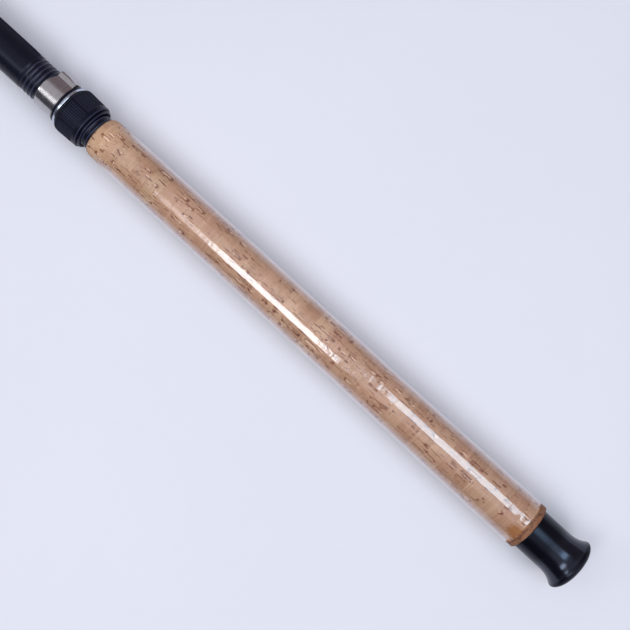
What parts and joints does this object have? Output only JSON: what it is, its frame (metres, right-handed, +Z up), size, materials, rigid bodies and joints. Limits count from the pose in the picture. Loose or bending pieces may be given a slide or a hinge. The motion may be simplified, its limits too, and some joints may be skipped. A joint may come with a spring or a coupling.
{
  "type": "telescopic carp rod",
  "caption": "Telescopic carp fishing rod, collapsed, with cork grip under clear film, screw reel seat and line guides.",
  "frame": {"origin": "centre of the flat end face of the butt cap", "axes": "+X along the rod from the butt to the tip, +Z up from the floor that the rod lies on, -Y the reel side, on which the reel foot bed, the hoods' pockets and the line guides lie"},
  "size_m": [0.8422, 0.0654, 0.0378],
  "materials": {
    "cap_rubber": "satin moulded rubber",
    "black_plastic": "satin moulded plastic",
    "foam": "matt closed-cell foam",
    "cork": "turned and sanded cork",
    "clear_film": "clear glossy shrink film",
    "hood_steel": "satin stainless steel",
    "bright_metal": "bright plated",
    "blank": "lacquered carbon composite",
    "guide_metal": "dark plated steel",
    "guide_ceramic": "polished ceramic"
  },
  "bodies": {
    "rod": {"butt_cap": "cap_rubber", "butt_plug": "black_plastic", "plug_buffer": "cap_rubber", "butt_blank": "blank", "cork_ring_01": "cork", "cork_ring_02": "cork", "cork_ring_03": "cork", "cork_ring_04": "cork", "cork_ring_05": "cork", "cork_ring_06": "cork", "cork_ring_07": "cork", "cork_ring_08": "cork", "cork_ring_09": "cork", "cork_ring_10": "cork", "cork_ring_11": "cork", "cork_ring_12": "cork", "cork_ring_13": "cork", "cork_ring_14": "cork", "cork_ring_15": "cork", "cork_ring_16": "cork", "cork_ring_17": "cork", "cork_ring_18": "cork", "cork_ring_19": "cork", "cork_ring_20": "cork", "cork_ring_21": "cork", "cork_ring_22": "cork", "cork_ring_23": "cork", "cork_ring_24": "cork", "cork_ring_25": "cork", "cork_ring_26": "cork", "cork_ring_27": "cork", "cork_ring_28": "cork", "cork_ring_29": "cork", "cork_ring_30": "cork", "cork_ring_31": "cork", "cork_ring_32": "cork", "grip_film": "clear_film", "seat_body": "black_plastic", "fixed_hood": "hood_steel", "foregrip": "foam", "winding_check": "bright_metal", "guide_1_frame": "guide_metal", "guide_1_ring": "guide_ceramic"},
    "hood": {"moving_hood": "hood_steel", "hood_collar": "black_plastic"},
    "nut": {"lock_nut": "black_plastic", "nut_trim_ring": "bright_metal"},
    "section_2": {"section_2": "blank", "guide_2_frame": "guide_metal", "guide_2_ring": "guide_ceramic"},
    "section_3": {"section_3": "blank", "guide_3_frame": "guide_metal", "guide_3_ring": "guide_ceramic"},
    "tip": {"tip_section": "blank", "tip_guide_frame": "guide_metal", "tip_guide_ring": "guide_ceramic"},
    "float_guide": {"float_guide_frame": "guide_metal", "float_guide_ring": "guide_ceramic"}
  },
  "joints": [
    {"name": "nut_spin", "type": "hinge", "parent": "hood", "child": "nut", "pos_m": [0.44, 0, 0], "axis": [1, 0, 0], "range_deg": [-430, 3270]},
    {"name": "hood_slide", "type": "slide", "parent": "rod", "child": "hood", "axis": [1, 0, 0], "range_m": [-0.004, 0.03]},
    {"name": "section_2_slide", "type": "slide", "parent": "rod", "child": "section_2", "axis": [1, 0, 0], "range_m": [0, 0.695]},
    {"name": "section_3_slide", "type": "slide", "parent": "section_2", "child": "section_3", "axis": [1, 0, 0], "range_m": [0, 0.718]},
    {"name": "tip_slide", "type": "slide", "parent": "section_3", "child": "tip", "axis": [1, 0, 0], "range_m": [0, 0.7415]},
    {"name": "float_guide_slide", "type": "slide", "parent": "tip", "child": "float_guide", "axis": [1, 0, 0], "range_m": [-0.372, 0]}
  ],
  "couplings": [
    {"joint": "hood_slide", "follows": "nut_spin", "m_per_rad": 0.00052521},
    {"joint": "float_guide_slide", "follows": "tip_slide", "ratio": -0.5}
  ]
}
